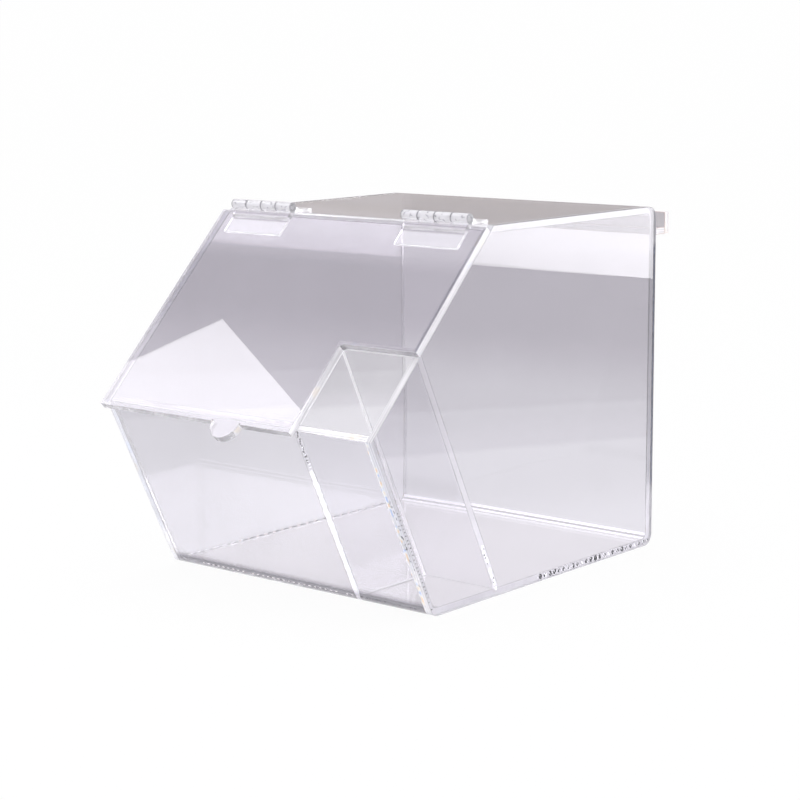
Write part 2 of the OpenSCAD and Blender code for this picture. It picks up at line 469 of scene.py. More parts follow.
def cut_edge_material(name, outline, glow, joint=False):
    """Cut edge of a sheet, bright with a painted glow, with fine grey lines along it that the cutter leaves,
    painted shade on its two rims and painted amber and blue glints.

    joint adds the prismatic dashes, which are painted glints, and the dark air marks of a cemented joint
    beside the edge.
    """
    made, tree, shader, place = new_material(name)
    through = through_sheet(tree)
    drift = spread(tree, noise(tree, place, 45, 2), 0.3, 0.7, -0.08, 0.08)
    level = maths(tree, "ADD", through, drift)
    share = spread(tree, noise(tree, place, 28, 2), 0.42, 0.58, 0.15, 1)
    lines = maths(
        tree, "MAXIMUM", near_value(tree, level, 0.30, 0.07),
        product(tree, near_value(tree, level, 0.66, 0.11), share))
    # Painted shade on the rims where the edge meets the two faces.
    rims = [near_value(tree, through, face, 0.15) for face in (0.0, 1.0)]
    patches = spread(tree, noise(tree, place, 110, 2), 0.52, 0.66, 0, 0.55)
    # Painted amber and blue glints over the edge colour.
    shade = glinting(tree, place, settings().sheet.edge_colour, 75)
    shade = blend_colours(tree, patches, shade, (0.72, 0.71, 0.74))
    shade = blend_colours(tree, lines, shade, (0.5, 0.49, 0.52))
    shade = blend_colours(tree, maths(tree, "MAXIMUM", *rims), shade, outline)
    if joint:
        height = axis(tree, place, "Z")
        # Painted prismatic glints in dashes beside the joint.
        dash = spread(tree, noise(tree, place, 150, 0), 0.4, 0.46, 0, 1)
        dashes = product(tree, near_value(tree, through, 0.14, 0.3), dash)
        shade = blend_colours(tree, dashes, shade, prism_colour(tree, noise(tree, place, 240, 0)))
        above_foot = spread(tree, height, 0.07 * Bin.height, 0.1 * Bin.height, 0, 1)
        below_middle = spread(tree, height, 0.3 * Bin.height, 0.36 * Bin.height, 1, 0)
        speck = spread(tree, noise(tree, place, 520, 1), 0.54, 0.6, 0, 1)
        specks = product(tree, near_value(tree, through, 0.55, 0.32), speck)
        specks = product(tree, specks, product(tree, above_foot, below_middle))
        shade = blend_colours(tree, specks, shade, INK)
    # The emission is a painted glow.
    set_shader(
        tree, shader, Base_Color=shade, IOR=ACRYLIC_IOR, Transmission_Weight=CUT_EDGE_CLEARNESS,
        Roughness=spread(tree, patches, 0, 0.5, 0.06, 0.14), Normal=relief(tree, lines, 0.1 * MM, 0.4),
        Emission_Color=EDGE_LIGHT, Emission_Strength=glow,
    )
    return made


def clear_edge_material(name):
    """Cut edge polished clear, which shows the sheet's inside, greyed in a mottle by painted shade."""
    made, tree, shader, place = new_material(name)
    grain = noise(tree, place, 90, 2)
    # Both greys are painted shade.
    light, dark = (0.74, 0.735, 0.76), (0.42, 0.415, 0.44)
    shade = blend_colours(tree, spread(tree, grain, 0.4, 0.6, 0, 1), light, dark)
    set_acrylic(tree, shader, shade, grain, (0.0, 0.04), (0.2 * MM, 0.2), clearness=0.9)
    return made


def rear_edge_material(name):
    """Rear cut edge of a side panel, painted with dark blue shade above and milky at its foot and head."""
    made, tree, shader, place = new_material(name)
    height = axis(tree, place, "Z")
    foot = spread(tree, height, 0.15 * Bin.height, 0.19 * Bin.height, 1, 0)
    head = spread(tree, height, 0.88 * Bin.height, 0.90 * Bin.height, 0, 1)
    streak = noise(tree, place, 700, 1, stretch=(1, 1, 0.6))
    # The navy and blue are painted shade.
    navy, blue, milky = (0.05, 0.07, 0.17), (0.15, 0.20, 0.36), (0.95, 0.95, 0.98)
    dark = blend_colours(tree, spread(tree, streak, 0.45, 0.6, 0, 1), navy, blue)
    shade = blend_colours(tree, maths(tree, "MAXIMUM", foot, head), dark, milky)
    set_acrylic(tree, shader, shade, streak, (0.03, 0.12), (0.1 * MM, 0.3), clearness=0.25)
    return made


def glued_edge_material(name, glow, rear_line=False):
    """Cut edge inside a cemented joint, which shines white with a painted glow for the light that it
    gathers.

    rear_line adds the dark line that the right joint shows along the back.
    """
    made, tree, shader, place = new_material(name)
    patches = noise(tree, place, 60, 2)
    white, grey = (0.95, 0.945, 0.965), (0.80, 0.79, 0.83)
    shade = blend_colours(tree, spread(tree, patches, 0.45, 0.65, 0, 1), white, grey)
    if rear_line:
        height = axis(tree, place, "Z")
        behind = spread(tree, axis(tree, place, "Y"), 0.92 * Bin.back, 0.94 * Bin.back, 0, 1)
        below_top = spread(tree, height, 0.86 * Bin.height, 0.88 * Bin.height, 1, 0)
        above_foot = spread(tree, height, 0.1 * Bin.height, 0.14 * Bin.height, 0, 1)
        right = spread(tree, axis(tree, place, "X"), 0, MM, 0, 1)
        for limit in (below_top, above_foot, right):
            behind = product(tree, behind, limit)
        line = product(tree, near_value(tree, through_sheet(tree), 0.8, 0.35), behind)
        shade = blend_colours(tree, line, shade, (0.04, 0.04, 0.06))
    # The emission is a painted glow.
    set_acrylic(
        tree, shader, shade, patches, (0.05, 0.15), (0.2 * MM, 0.2), clearness=CUT_EDGE_CLEARNESS, glow=glow)
    return made


def bend_highlight_material(name):
    """Inside of a hot bend, painted as a white highlight with a painted glow."""
    made, tree, shader, place = new_material(name)
    draw = noise(tree, place, 160, 2, stretch=(0.1, 1, 1))
    shade = blend_colours(tree, draw, (0.97, 0.97, 1.0), (0.86, 0.86, 0.90))
    set_acrylic(tree, shader, shade, draw, (0.1, 0.3), (0.1 * MM, 0.2), clearness=0.1, glow=0.7)
    return made


def moulded_material(name):
    """Moulded hinge acrylic, milky in the barrels and clear in the leaves, with painted grey shade across
    the step, painted shade along the barrels' top and bottom, and a faint painted glow.
    """
    made, tree, shader, place = new_material(name)
    flow = noise(tree, place, 260, 2, stretch=(0.25, 1, 1))
    fleck = spread(tree, noise(tree, place, 520, 1), 0.62, 0.67, 0, 0.9)
    pin_low, pin_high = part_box("hinge_left_pin")
    pin_axis = (pin_low + pin_high) / 2
    away = vectors(tree, "SUBTRACT", place, (0, pin_axis.y, pin_axis.z))
    radius = vectors(tree, "LENGTH", vectors(tree, "MULTIPLY", away, (0, 1, 1)))
    barrel = spread(tree, radius, 2.6 * MM, 3.2 * MM, 1, 0)
    reach = vectors(tree, "DOT_PRODUCT", away, Bin.down_slope)

    def band(near, far, blur=0.3):
        rise = spread(tree, reach, (near - blur) * MM, (near + blur) * MM, 0, 1)
        fall = spread(tree, reach, (far - blur) * MM, (far + blur) * MM, 1, 0)
        return product(tree, rise, fall)

    # Painted grey shade in two strips across the step of the leaf.
    painted_step_shade = maths(tree, "MAXIMUM", band(4.2, 6.2), band(7.2, 9.2))
    lid_leaf, top_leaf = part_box("hinge_right_lid_leaf"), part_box("hinge_right_top_leaf")
    width = max(lid_leaf[1].x, top_leaf[1].x) - min(lid_leaf[0].x, top_leaf[0].x)
    side = maths(tree, "ABSOLUTE", axis(tree, place, "X"))
    step = maths(tree, "PINGPONG", maths(tree, "SUBTRACT", side, top_leaf[0].x), width / KNUCKLES / 2)
    rings = product(tree, spread(tree, step, 0.25 * MM, 0.65 * MM, 1, 0), barrel)
    # Painted shade along the top and bottom of each barrel.
    crest = maths(tree, "DIVIDE", vectors(tree, "DOT_PRODUCT", away, (0, 0.22, 0.975)), radius)
    seam = spread(tree, maths(tree, "ABSOLUTE", crest), 0.80, 0.96, 0, 0.75)
    colour = settings().hinge.colour
    shade = blend_colours(tree, spread(tree, flow, 0.4, 0.7, 0, 1), colour, [c * 0.95 for c in colour])
    shade = blend_colours(tree, product(tree, seam, barrel), shade, (0.45, 0.44, 0.47))
    shade = blend_colours(tree, product(tree, fleck, barrel), shade, (0.25, 0.25, 0.28))
    shade = blend_colours(tree, rings, shade, (0.14, 0.14, 0.16))
    shade = blend_colours(tree, painted_step_shade, shade, (0.58, 0.56, 0.60))
    clearness = spread(tree, barrel, 0, 1, 0.86, 0.6)
    set_acrylic(tree, shader, shade, flow, (0.0, 0.05), (0.1 * MM, 0.25), clearness, glow=0.1)
    return made


def pin_material(name):
    """Clear extruded rod with draw lines along it."""
    made, tree, shader, place = new_material(name)
    draw = noise(tree, place, 700, 1, stretch=(0.05, 1, 1))
    shade = blend_colours(tree, draw, (0.93, 0.93, 0.96), (0.80, 0.80, 0.84))
    set_acrylic(tree, shader, shade, draw, (0.08, 0.2), (0.1 * MM, 0.3), clearness=0.5)
    return made


def cement_material(name):
    """Dried solvent cement, clear to white, with pale painted prismatic glints."""
    made, tree, shader, place = new_material(name)
    grain = noise(tree, place, 1500, 1)
    shade = glinting(tree, place, (0.97, 0.97, 0.99), 220)
    set_acrylic(tree, shader, shade, grain, (0.05, 0.2), (0.05 * MM, 0.3), clearness=0.6)
    return made


def mark_material(name, light, shade, scale, glow):
    """A mark in a joint, mottled between two colours, with a painted glow of the given strength."""
    made, tree, shader, place = new_material(name)
    mottle = noise(tree, place, scale, 1)
    colour = blend_colours(tree, spread(tree, mottle, 0.4, 0.6, 0, 1), light, shade)
    set_acrylic(tree, shader, colour, mottle, (0.15, 0.4), (0.1 * MM, 0.3), glow=glow)
    return made


def prism_mark_material(name):
    """A painted glint that runs from amber over white to blue, with a faint painted glow."""
    made, tree, shader, place = new_material(name)
    turn = noise(tree, place, 330, 0)
    set_acrylic(tree, shader, prism_colour(tree, turn), turn, (0.1, 0.3), (0.1 * MM, 0.2), glow=0.15)
    return made


def material(name, make, *values, **options):
    """A material by name, made the first time that it is asked for."""
    return bpy.data.materials.get(name) or make(name, *values, **options)


def graded(name, stops, **options):
    """A sheet face material by name."""
    return material(name, sheet_face_material, stops, **options)


def panel_face():
    """Side panel face, whose painted shade steps darker twice going up."""
    look = settings().sheet
    low, middle, high = look.panel_low_painted_shade, look.panel_middle_painted_shade, look.panel_high_painted_shade
    soft = 2 * MM
    lift = [m * 1.06 for m in middle]
    drop = [(m + h) / 2 for m, h in zip(middle, high)]
    return graded("Panel Face", (
        (0.1 * Bin.height, [c * 1.12 for c in low]), (0.3 * Bin.height, low),
        (look.panel_step_low - soft, low), (look.panel_step_low + soft, lift),
        (look.panel_step_high - soft, middle), (look.panel_step_high + soft, drop),
        (0.7 * Bin.height, high), (0.86 * Bin.height, high), (0.95 * Bin.height, middle)),
        lean=(0, look.panel_tilt, 1))


def back_face():
    """Back face of the bent sheet, with painted shade that is light below and darker above."""
    look = settings().sheet
    return graded("Back Face", (
        (0, look.wrap_low_painted_shade), (0.4 * Bin.height, look.wrap_low_painted_shade),
        (0.62 * Bin.height, look.wrap_high_painted_shade), (Bin.height, look.wrap_high_painted_shade)))


def front_face():
    """Front face of the bent sheet, with painted shade darkest in its upper left corner."""
    look = settings().sheet
    low, high = look.front_low_painted_shade, look.front_high_painted_shade
    middle = [(a + b) / 2 for a, b in zip(low, high)]
    return graded("Front Face", (
        (0, low), (0.32 * Bin.height, low), (0.5 * Bin.height, middle), (0.65 * Bin.height, high)),
        lean=(-1, 0, 1), bend=Bin.front_bottom)


def floor_face():
    """Floor of the bin, with light painted shade that darkens along the front bend."""
    painted_shade = settings().sheet.floor_painted_shade
    return graded("Floor Face", ((0, painted_shade), (Bin.height, painted_shade)), bend=Bin.front_bottom)


def top_face():
    """Top of the bin, with even painted shade and faint streaks."""
    painted_shade = settings().sheet.top_painted_shade
    return graded("Top Face", ((0, painted_shade), (Bin.height, painted_shade)), streaks=True)


def lid_face():
    """Lid face, with painted shade darkest above its middle."""
    look = settings().sheet
    return graded("Lid Face", (
        (0.6 * Bin.height, look.lid_low_painted_shade), (0.8 * Bin.height, look.lid_high_painted_shade),
        (0.87 * Bin.height, look.lid_high_painted_shade), (0.93 * Bin.height, [c * 1.06 for c in look.lid_low_painted_shade])))


def rail_face():
    """Rear rail face, with dark warm painted shade."""
    painted_shade = settings().sheet.rail_painted_shade
    return graded("Rail Face", ((0.9 * Bin.height, painted_shade), (Bin.height, [c * 0.9 for c in painted_shade])))


def inner_face():
    """Pocket wall face, nearly clear, with painted shade slightly darker above."""
    painted_shade = settings().sheet.inner_painted_shade
    upper = [c * 0.9 for c in painted_shade]
    return graded("Inner Face", ((0.5 * Bin.height, painted_shade), (0.6 * Bin.height, upper), (Bin.height, upper)))


def edge_materials():
    """The edge materials in the order of EDGES."""
    # The colours passed to the cut edges are the painted shade on their rims, and the numbers the strength
    # of each edge's painted glow.
    return [
        material("Cut Edge", cut_edge_material, (0.55, 0.54, 0.57), 0.18),
        material("Glued Edge", glued_edge_material, 0.2, rear_line=True),
        material("Clear Edge", clear_edge_material),
        material("Rear Edge", rear_edge_material),
        material("Rail Edge", cut_edge_material, (0.52, 0.36, 0.33), 0.2),
        material("Pocket Edge", glued_edge_material, 0.35),
        material("Front Edge", cut_edge_material, (0.60, 0.59, 0.62), 0.22, joint=True),
        material("Left Edge", cut_edge_material, (0.02, 0.02, 0.03), 0.33),
    ]


EDGES = ("cut", "glued", "clear", "rear", "rail", "pocket", "front", "left")
# Faces nearer than FLAT are joined, and edges steeper than SHARP are broken.
FLAT = math.radians(0.5)
SHARP = math.radians(40)


def welded(mesh):
    """A bmesh of a closed mesh, its doubles merged and its flat faces joined."""
    shape = bmesh.new()
    shape.from_mesh(mesh)
    bmesh.ops.remove_doubles(shape, verts=shape.verts, dist=WELD)
    bmesh.ops.recalc_face_normals(shape, faces=shape.faces)
    bmesh.ops.dissolve_limit(shape, angle_limit=FLAT, verts=shape.verts, edges=shape.edges)
    return shape


def draw_in(shape, depth):
    """Moves every face of a closed shape inwards by a depth."""
    shape.normal_update()
    steps = [(v, v.normal * v.calc_shell_factor() * depth) for v in shape.verts]
    for vertex, step in steps:
        vertex.co -= step


def break_edges(shape, width, segments=2):
    """Bevels every sharp edge."""
    edges = [e for e in shape.edges if e.is_manifold and e.calc_face_angle() > SHARP]
    bmesh.ops.bevel(
        shape, geom=edges, offset=width, offset_type="OFFSET", segments=segments,
        profile=0.5, affect="EDGES", clamp_overlap=True,
    )


def finished(shape, name, body, slot, materials, slot_of=None, node=None):
    """Makes a piece of a bmesh, with even shading on its flats, and puts it on its body."""
    mesh = bpy.data.meshes.new(name)
    shape.normal_update()
    for face in shape.faces:
        face.smooth = True
        face.material_index = slot_of(face) if slot_of else 0
    shape.to_mesh(mesh)
    shape.free()
    for made in materials:
        mesh.materials.append(made)
    piece = bpy.data.objects.new(name, mesh)
    bpy.context.scene.collection.objects.link(piece)
    evener = piece.modifiers.new("Even Flats", "WEIGHTED_NORMAL")
    evener.keep_sharp = True
    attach(piece, body)
    if node:
        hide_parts(node)
    return piece


def sheet_piece(shape, node, body, materials, slot_of, depth_of):
    """Finishes one cut sheet. depth_of gives how far through the sheet a point lies."""
    look = settings().sheet
    draw_in(shape, look.air_gap / 2)
    break_edges(shape, look.chamfer)
    through = shape.verts.layers.float.new(THROUGH)
    for vertex in shape.verts:
        vertex[through] = min(max(depth_of(vertex.co) / Bin.sheet, 0), 1)
    return finished(shape, node + "_sheet", body, "acrylic_sheet", materials, slot_of, node)


def flat_sheet(node, body, face_material, square, edge_kind):
    """A flat sheet from its CAD node. square is the direction square to the sheet.

    edge_kind gives the kind of a cut edge, out of EDGES, by its normal.
    """
    shape = welded(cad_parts[node].data)
    near = min(vertex.co.dot(square) for vertex in shape.verts)
    limit = math.cos(SHARP / 4)

    def slot_of(face):
        if abs(face.normal.dot(square)) > limit:
            return 0
        return 1 + EDGES.index(edge_kind(face.normal))

    return sheet_piece(
        shape, node, body, [face_material, *edge_materials()], slot_of,
        lambda co: co.dot(square) - near,
    )


def greater(tree, first, second):
    """Whether one value is greater than another."""
    return output(tree, "FunctionNodeCompare", {0: first, 1: second}, operation="GREATER_THAN")


def new_tree(name, inputs):
    """A geometry node tree with named inputs, as (tree, input node's outputs, output node)."""
    tree = bpy.data.node_groups.new(name, "GeometryNodeTree")
    tree.interface.new_socket("Geometry", in_out="INPUT", socket_type="NodeSocketGeometry")
    for label, kind in inputs.items():
        tree.interface.new_socket(label, in_out="INPUT", socket_type="NodeSocket" + kind)
    tree.interface.new_socket("Geometry", in_out="OUTPUT", socket_type="NodeSocketGeometry")
    given = tree.nodes.new("NodeGroupInput").outputs
    return tree, given, tree.nodes.new("NodeGroupOutput")


def close_tree(tree, given, end, geometry):
    """Ends a tree with Realize Instances and Set Material."""
    real = output(tree, "GeometryNodeRealizeInstances", {0: geometry})
    dressed = put(tree, "GeometryNodeSetMaterial", {"Geometry": real, "Material": given["Material"]})
    tree.links.new(dressed.outputs[0], end.inputs[0])
    return tree


def built_by_nodes(start, tree, values):
    """Runs a tree on a start mesh and returns the result as a plain mesh."""
    carrier = bpy.data.objects.new(tree.name, start)
    bpy.context.scene.collection.objects.link(carrier)
    modifier = carrier.modifiers.new("Build", "NODES")
    modifier.node_group = tree
    for item in tree.interface.items_tree:
        if item.in_out == "INPUT" and item.name in values:
            modifier[item.identifier] = values[item.name]
    evaluated = carrier.evaluated_get(bpy.context.evaluated_depsgraph_get())
    mesh = bpy.data.meshes.new_from_object(evaluated)
    carrier.modifiers.remove(modifier)
    bpy.data.objects.remove(carrier)
    return mesh


def polyline_mesh(name, lines):
    """A mesh of open lines."""
    points = [tuple(p) for line in lines for p in line]
    edges, start = [], 0
    for line in lines:
        edges += [(start + i, start + i + 1) for i in range(len(line) - 1)]
        start += len(line)
    mesh = bpy.data.meshes.new(name)
    mesh.from_pydata(points, edges, [])
    return mesh


def bent_sheet_tree():
    """Sheet of one thickness that follows a bent path, its ends cut by a slanted plane."""
    tree, given, end = new_tree("Bent Sheet", {
        "Width": "Float", "Thickness": "Float", "Bend Radius": "Float", "Cut Point": "Vector",
        "Cut Normal": "Vector", "Front Direction": "Vector", "Material": "Material",
    })
    path = output(tree, "GeometryNodeMeshToCurve", {0: given["Geometry"]})
    half = product(tree, given["Thickness"], 0.5)
    radius = maths(tree, "SUBTRACT", given["Bend Radius"], half)
    bends = {"Curve": path, "Radius": radius, "Count": 12}
    bent = output(tree, "GeometryNodeFilletCurve", bends, mode="POLY")
    size = {"Width": given["Width"], "Height": given["Thickness"]}
    section = output(tree, "GeometryNodeCurvePrimitiveQuadrilateral", size, mode="RECTANGLE")
    swept = {"Curve": bent, "Profile Curve": section, "Fill Caps": True}
    sheet = output(tree, "GeometryNodeCurveToMesh", swept)
    place = output(tree, "GeometryNodeInputPosition")
    from_cut = vectors(tree, "SUBTRACT", place, given["Cut Point"])
    reach = vectors(tree, "DOT_PRODUCT", from_cut, given["Cut Normal"])
    upper = greater(tree, axis(tree, place, "Z"), axis(tree, given["Cut Point"], "Z"))
    ways = {"Switch": upper, "False": given["Front Direction"], "True": (0, -1, 0)}
    along = output(tree, "GeometryNodeSwitch", ways, input_type="VECTOR")
    step = maths(tree, "DIVIDE", reach, vectors(tree, "DOT_PRODUCT", along, given["Cut Normal"]))
    back = vectors(tree, "SCALE", along, scale=product(tree, step, -1))
    pulled = {"Geometry": sheet, "Selection": greater(tree, reach, 0.0), "Offset": back}
    trimmed = output(tree, "GeometryNodeSetPosition", pulled)
    return close_tree(tree, given, end, trimmed)


def bent_path():
    """The middle line of the wrapped sheet with its ends run out past the slanted cut."""
    half = Bin.sheet / 2
    run_out = 3 * Bin.sheet
    low = half
    high = Bin.height - half
    return [
        Bin.nose + Bin.into_bin * half + Bin.up_front * run_out,
        behind_front(half, low),
        Vector((0, Bin.back - half, low)),
        Vector((0, Bin.back - half, high)),
        Vector((0, Bin.top_front.y - run_out, high)),
    ]


class CANDYBIN_OT_bent_sheet(bpy.types.Operator):
    """Makes the sheet that is bent three times into front, floor, back and top"""

    bl_idname = "candy_bin.bent_sheet"
    bl_label = "Bent sheet"

    def execute(self, context):
        radius = settings().sheet.bend_radius
        mesh = built_by_nodes(
            polyline_mesh("Bent Path", [bent_path()]), bent_sheet_tree(),
            {
                "Width": 2 * Bin.inner_x, "Thickness": Bin.sheet, "Bend Radius": radius,
                "Cut Point": (Bin.nose + Bin.top_front) / 2, "Cut Normal": Bin.off_slope,
                "Front Direction": Bin.up_front, "Material": back_face(),
            },
        )
        bend = Vector((0, Bin.back - radius, radius))
        dress = [back_face(), *edge_materials(), front_face(), floor_face(), top_face(),
                 material("Bend Haze", bend_highlight_material)]
        front, floor, top, highlight = range(len(dress) - 4, len(dress))

        def slot_of(face):
            if abs(face.normal.x) > 0.1:
                return 1 + EDGES.index("glued")
            if face.normal.dot(Bin.off_slope) > 0.98:
                return 1 + EDGES.index("cut")
            centre = face.calc_center_median()
            away = Vector((0, centre.y - bend.y, centre.z - bend.z))
            # Faces inside the back bend carry the painted highlight.
            if away.y > 0 and away.z < 0 and away.length < radius - Bin.sheet / 2:
                return highlight
            if centre.y < radius - Bin.back:
                return front
            if abs(face.normal.z) > 0.9:
                return floor if centre.z < Bin.height / 2 else top
            return 0

        def depth_of(co):
            front_depth = (co - Bin.front_bottom).dot(Bin.into_bin)
            return min(front_depth, co.z, Bin.back - co.y, Bin.height - co.z)

        sheet_piece(welded(mesh), "body_wrap", BIN, dress, slot_of, depth_of)
        return {"FINISHED"}


class CANDYBIN_OT_side_panels(bpy.types.Operator):
    """Makes the two side panels"""

    bl_idname = "candy_bin.side_panels"
    bl_label = "Side panels"

    def execute(self, context):

        def kinds(front, slope):
            def edge_kind(normal):
                if normal.y > 0.7:
                    return "rear"
                if normal.dot(Bin.into_bin) < -0.9:
                    return front
                if normal.dot(Bin.off_slope) > 0.9:
                    return slope
                return "clear" if normal.z > 0.9 else "cut"
            return edge_kind

        flat_sheet("side_panel_left", BIN, panel_face(), X_AXIS, kinds("left", "left"))
        flat_sheet("side_panel_right", BIN, panel_face(), X_AXIS, kinds("front", "cut"))
        return {"FINISHED"}


class CANDYBIN_OT_pocket_walls(bpy.types.Operator):
    """Makes the two walls of the scoop pocket"""

    bl_idname = "candy_bin.pocket_walls"
    bl_label = "Pocket walls"

    def execute(self, context):
        for node, square in (("pocket_side_wall", X_AXIS), ("pocket_back_wall", Bin.into_bin)):
            flat_sheet(
                node, BIN, inner_face(), square,
                lambda normal: "pocket" if normal.dot(Bin.off_slope) < 0.5 else "cut")
        return {"FINISHED"}


class CANDYBIN_OT_rear_rail(bpy.types.Operator):
    """Makes the two strips of the rear channel"""

    bl_idname = "candy_bin.rear_rail"
    bl_label = "Rear rail"

    def execute(self, context):
        flat_sheet("rear_rail_web", BIN, rail_face(), Z_AXIS, lambda normal: "rail")
        flat_sheet("rear_rail_lip", BIN, rail_face(), Y_AXIS, lambda normal: "rail")
        return {"FINISHED"}


class CANDYBIN_OT_lid(bpy.types.Operator):
    """Makes the lid with its corner notch and finger tab"""

    bl_idname = "candy_bin.lid"
    bl_label = "Lid"

    def execute(self, context):

        def edge_kind(normal):
            if normal.x < -0.9:
                return "left"
            return "clear" if normal.dot(Bin.down_slope) > 0.5 else "cut"

        flat_sheet("lid", LID, lid_face(), Bin.off_slope, edge_kind)
        return {"FINISHED"}


class CANDYBIN_OT_hinges(bpy.types.Operator):
    """Makes the moulded leaves and the pins of both hinges"""

    bl_idname = "candy_bin.hinges"
    bl_label = "Hinges"

    def execute(self, context):
        moulded = material("Moulded Acrylic", moulded_material)
        rod = material("Pin Rod", pin_material)
        parts = (("lid_leaf", LID, moulded, "hinge_acrylic"), ("top_leaf", BIN, moulded, "hinge_acrylic"),
                 ("pin", BIN, rod, "hinge_pin"))
        for side in ("left", "right"):
            for part, body, dress, slot in parts:
                node = f"hinge_{side}_{part}"
                shape = welded(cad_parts[node].data)
                draw_in(shape, settings().sheet.air_gap / 2)
                break_edges(shape, settings().hinge.rounding)
                finished(shape, node + "_moulding", body, slot, [dress], node=node)
        return {"FINISHED"}


def bead_tree():
    """Round bead along bent lines, its thickness wandering."""
    tree, given, end = new_tree("Cement Bead", {
        "Radius": "Float", "Corner Radius": "Float", "Step": "Float", "Seed": "Int", "Material": "Material",
    })
    line = output(tree, "GeometryNodeMeshToCurve", {0: given["Geometry"]})
    corners = {"Curve": line, "Radius": given["Corner Radius"], "Count": 6, "Limit Radius": True}
    bent = output(tree, "GeometryNodeFilletCurve", corners, mode="POLY")
    even = output(tree, "GeometryNodeResampleCurve", {"Curve": bent, "Length": given["Step"]}, mode="LENGTH")
    pattern = {"Scale": 180.0, "Detail": 1.0, "W": product(tree, given["Seed"], 1.7)}
    wander = output(tree, "ShaderNodeTexNoise", pattern, noise_dimensions="4D")
    thick = spread(tree, wander, 0.3, 0.7, 0.45, 1.25)
    round_section = {"Resolution": 6, "Radius": given["Radius"]}
    ring = output(tree, "GeometryNodeCurvePrimitiveCircle", round_section, mode="RADIUS")
    swept = {"Curve": even, "Profile Curve": ring, "Scale": thick, "Fill Caps": True}
    return close_tree(tree, given, end, output(tree, "GeometryNodeCurveToMesh", swept))


def random_number(tree, low, high, seed):
    """The output of a Random Value node between two numbers."""
    made = put(tree, "FunctionNodeRandomValue", data_type="FLOAT")
    for socket in made.inputs:
        if socket.enabled and socket.name in ("Min", "Max"):
            socket.default_value = low if socket.name == "Min" else high
        elif socket.enabled and socket.name == "Seed":
            tree.links.new(seed, socket)
    return next(socket for socket in made.outputs if socket.enabled)


def joint_marks_tree():
    """Flat bubbles and streaks scattered along cemented joints."""
    tree, given, end = new_tree("Joint Marks", {
        "Square": "Vector", "Spacing": "Float", "Length": "Float", "Width": "Float", "Side Spread": "Float",
        "Turn": "Float", "Gap Share": "Float", "Evenness": "Float", "Seed": "Int", "Material": "Material",
    })
    line = output(tree, "GeometryNodeMeshToCurve", {0: given["Geometry"]})
    spaced = {"Curve": line, "Length": given["Spacing"]}
    dots = put(tree, "GeometryNodeCurveToPoints", spaced, mode="LENGTH").outputs

    def chance(low, high, offset):
        return random_number(tree, low, high, maths(tree, "ADD", given["Seed"], offset))

    gap = greater(tree, given["Gap Share"], chance(0.0, 1.0, 1))
    left_out = {"Geometry": dots["Points"], "Selection": gap}
    kept = output(tree, "GeometryNodeDeleteGeometry", left_out, domain="POINT")
    across = vectors(tree, "CROSS_PRODUCT", dots["Tangent"], given["Square"])
    unevenness = maths(tree, "SUBTRACT", 1.0, given["Evenness"])
    slip = product(tree, product(tree, chance(-0.5, 0.5, 2), given["Spacing"]), unevenness)
    along = vectors(tree, "SCALE", dots["Tangent"], scale=slip)
    aside = vectors(tree, "SCALE", across, scale=product(tree, chance(-0.5, 0.5, 3), given["Side Spread"]))
    offset = vectors(tree, "ADD", along, aside)
    moved = output(tree, "GeometryNodeSetPosition", {"Geometry": kept, "Offset": offset})
    lifted = output(tree, "FunctionNodeAlignRotationToVector", {"Vector": given["Square"]}, axis="Z")
    ahead = {"Rotation": lifted, "Vector": dots["Tangent"]}
    faced = output(tree, "FunctionNodeAlignRotationToVector", ahead, axis="X", pivot_axis="Z")
    angle = maths(tree, "ADD", given["Turn"], product(tree, chance(-0.5, 0.5, 4), unevenness))
    turn = output(tree, "FunctionNodeAxisAngleToRotation", {"Axis": (0, 0, 1), "Angle": angle})
    both = {"Rotation": faced, "Rotate By": turn}
    turned = output(tree, "FunctionNodeRotateRotation", both, rotation_space="LOCAL")
    size = output(tree, "ShaderNodeCombineXYZ", {
        0: product(tree, given["Length"], chance(0.5, 1.0, 5)),
        1: product(tree, given["Width"], chance(0.6, 1.0, 6)),
        2: product(tree, given["Width"], 0.2),
    })
    blob = output(tree, "GeometryNodeMeshUVSphere", {"Segments": 8, "Rings": 4, "Radius": 0.5})
    copies = {"Points": moved, "Instance": blob, "Rotation": turned, "Scale": size}
    placed = output(tree, "GeometryNodeInstanceOnPoints", copies)
    return close_tree(tree, given, end, placed)


def joint_row(
        name, dress, start, end, square, spacing, length, width, side=0.2, turn=0, gaps=0.1, evenness=0.9):
    """One row of marks from a start to an end, flat against the plane that square stands on.

    Spacing, length, width and side are in millimetres, and turn is in degrees from the row's direction.
    """
    scale = settings().joint.mark_scale * MM
    return SimpleNamespace(
        name=name, dress=dress, line=[start, end],
        inputs={
            "Square": square, "Spacing": spacing * MM, "Length": length * scale, "Width": width * scale,
            "Side Spread": side * MM, "Turn": math.radians(turn), "Gap Share": gaps,
            "Evenness": evenness, "Material": dress,
        })


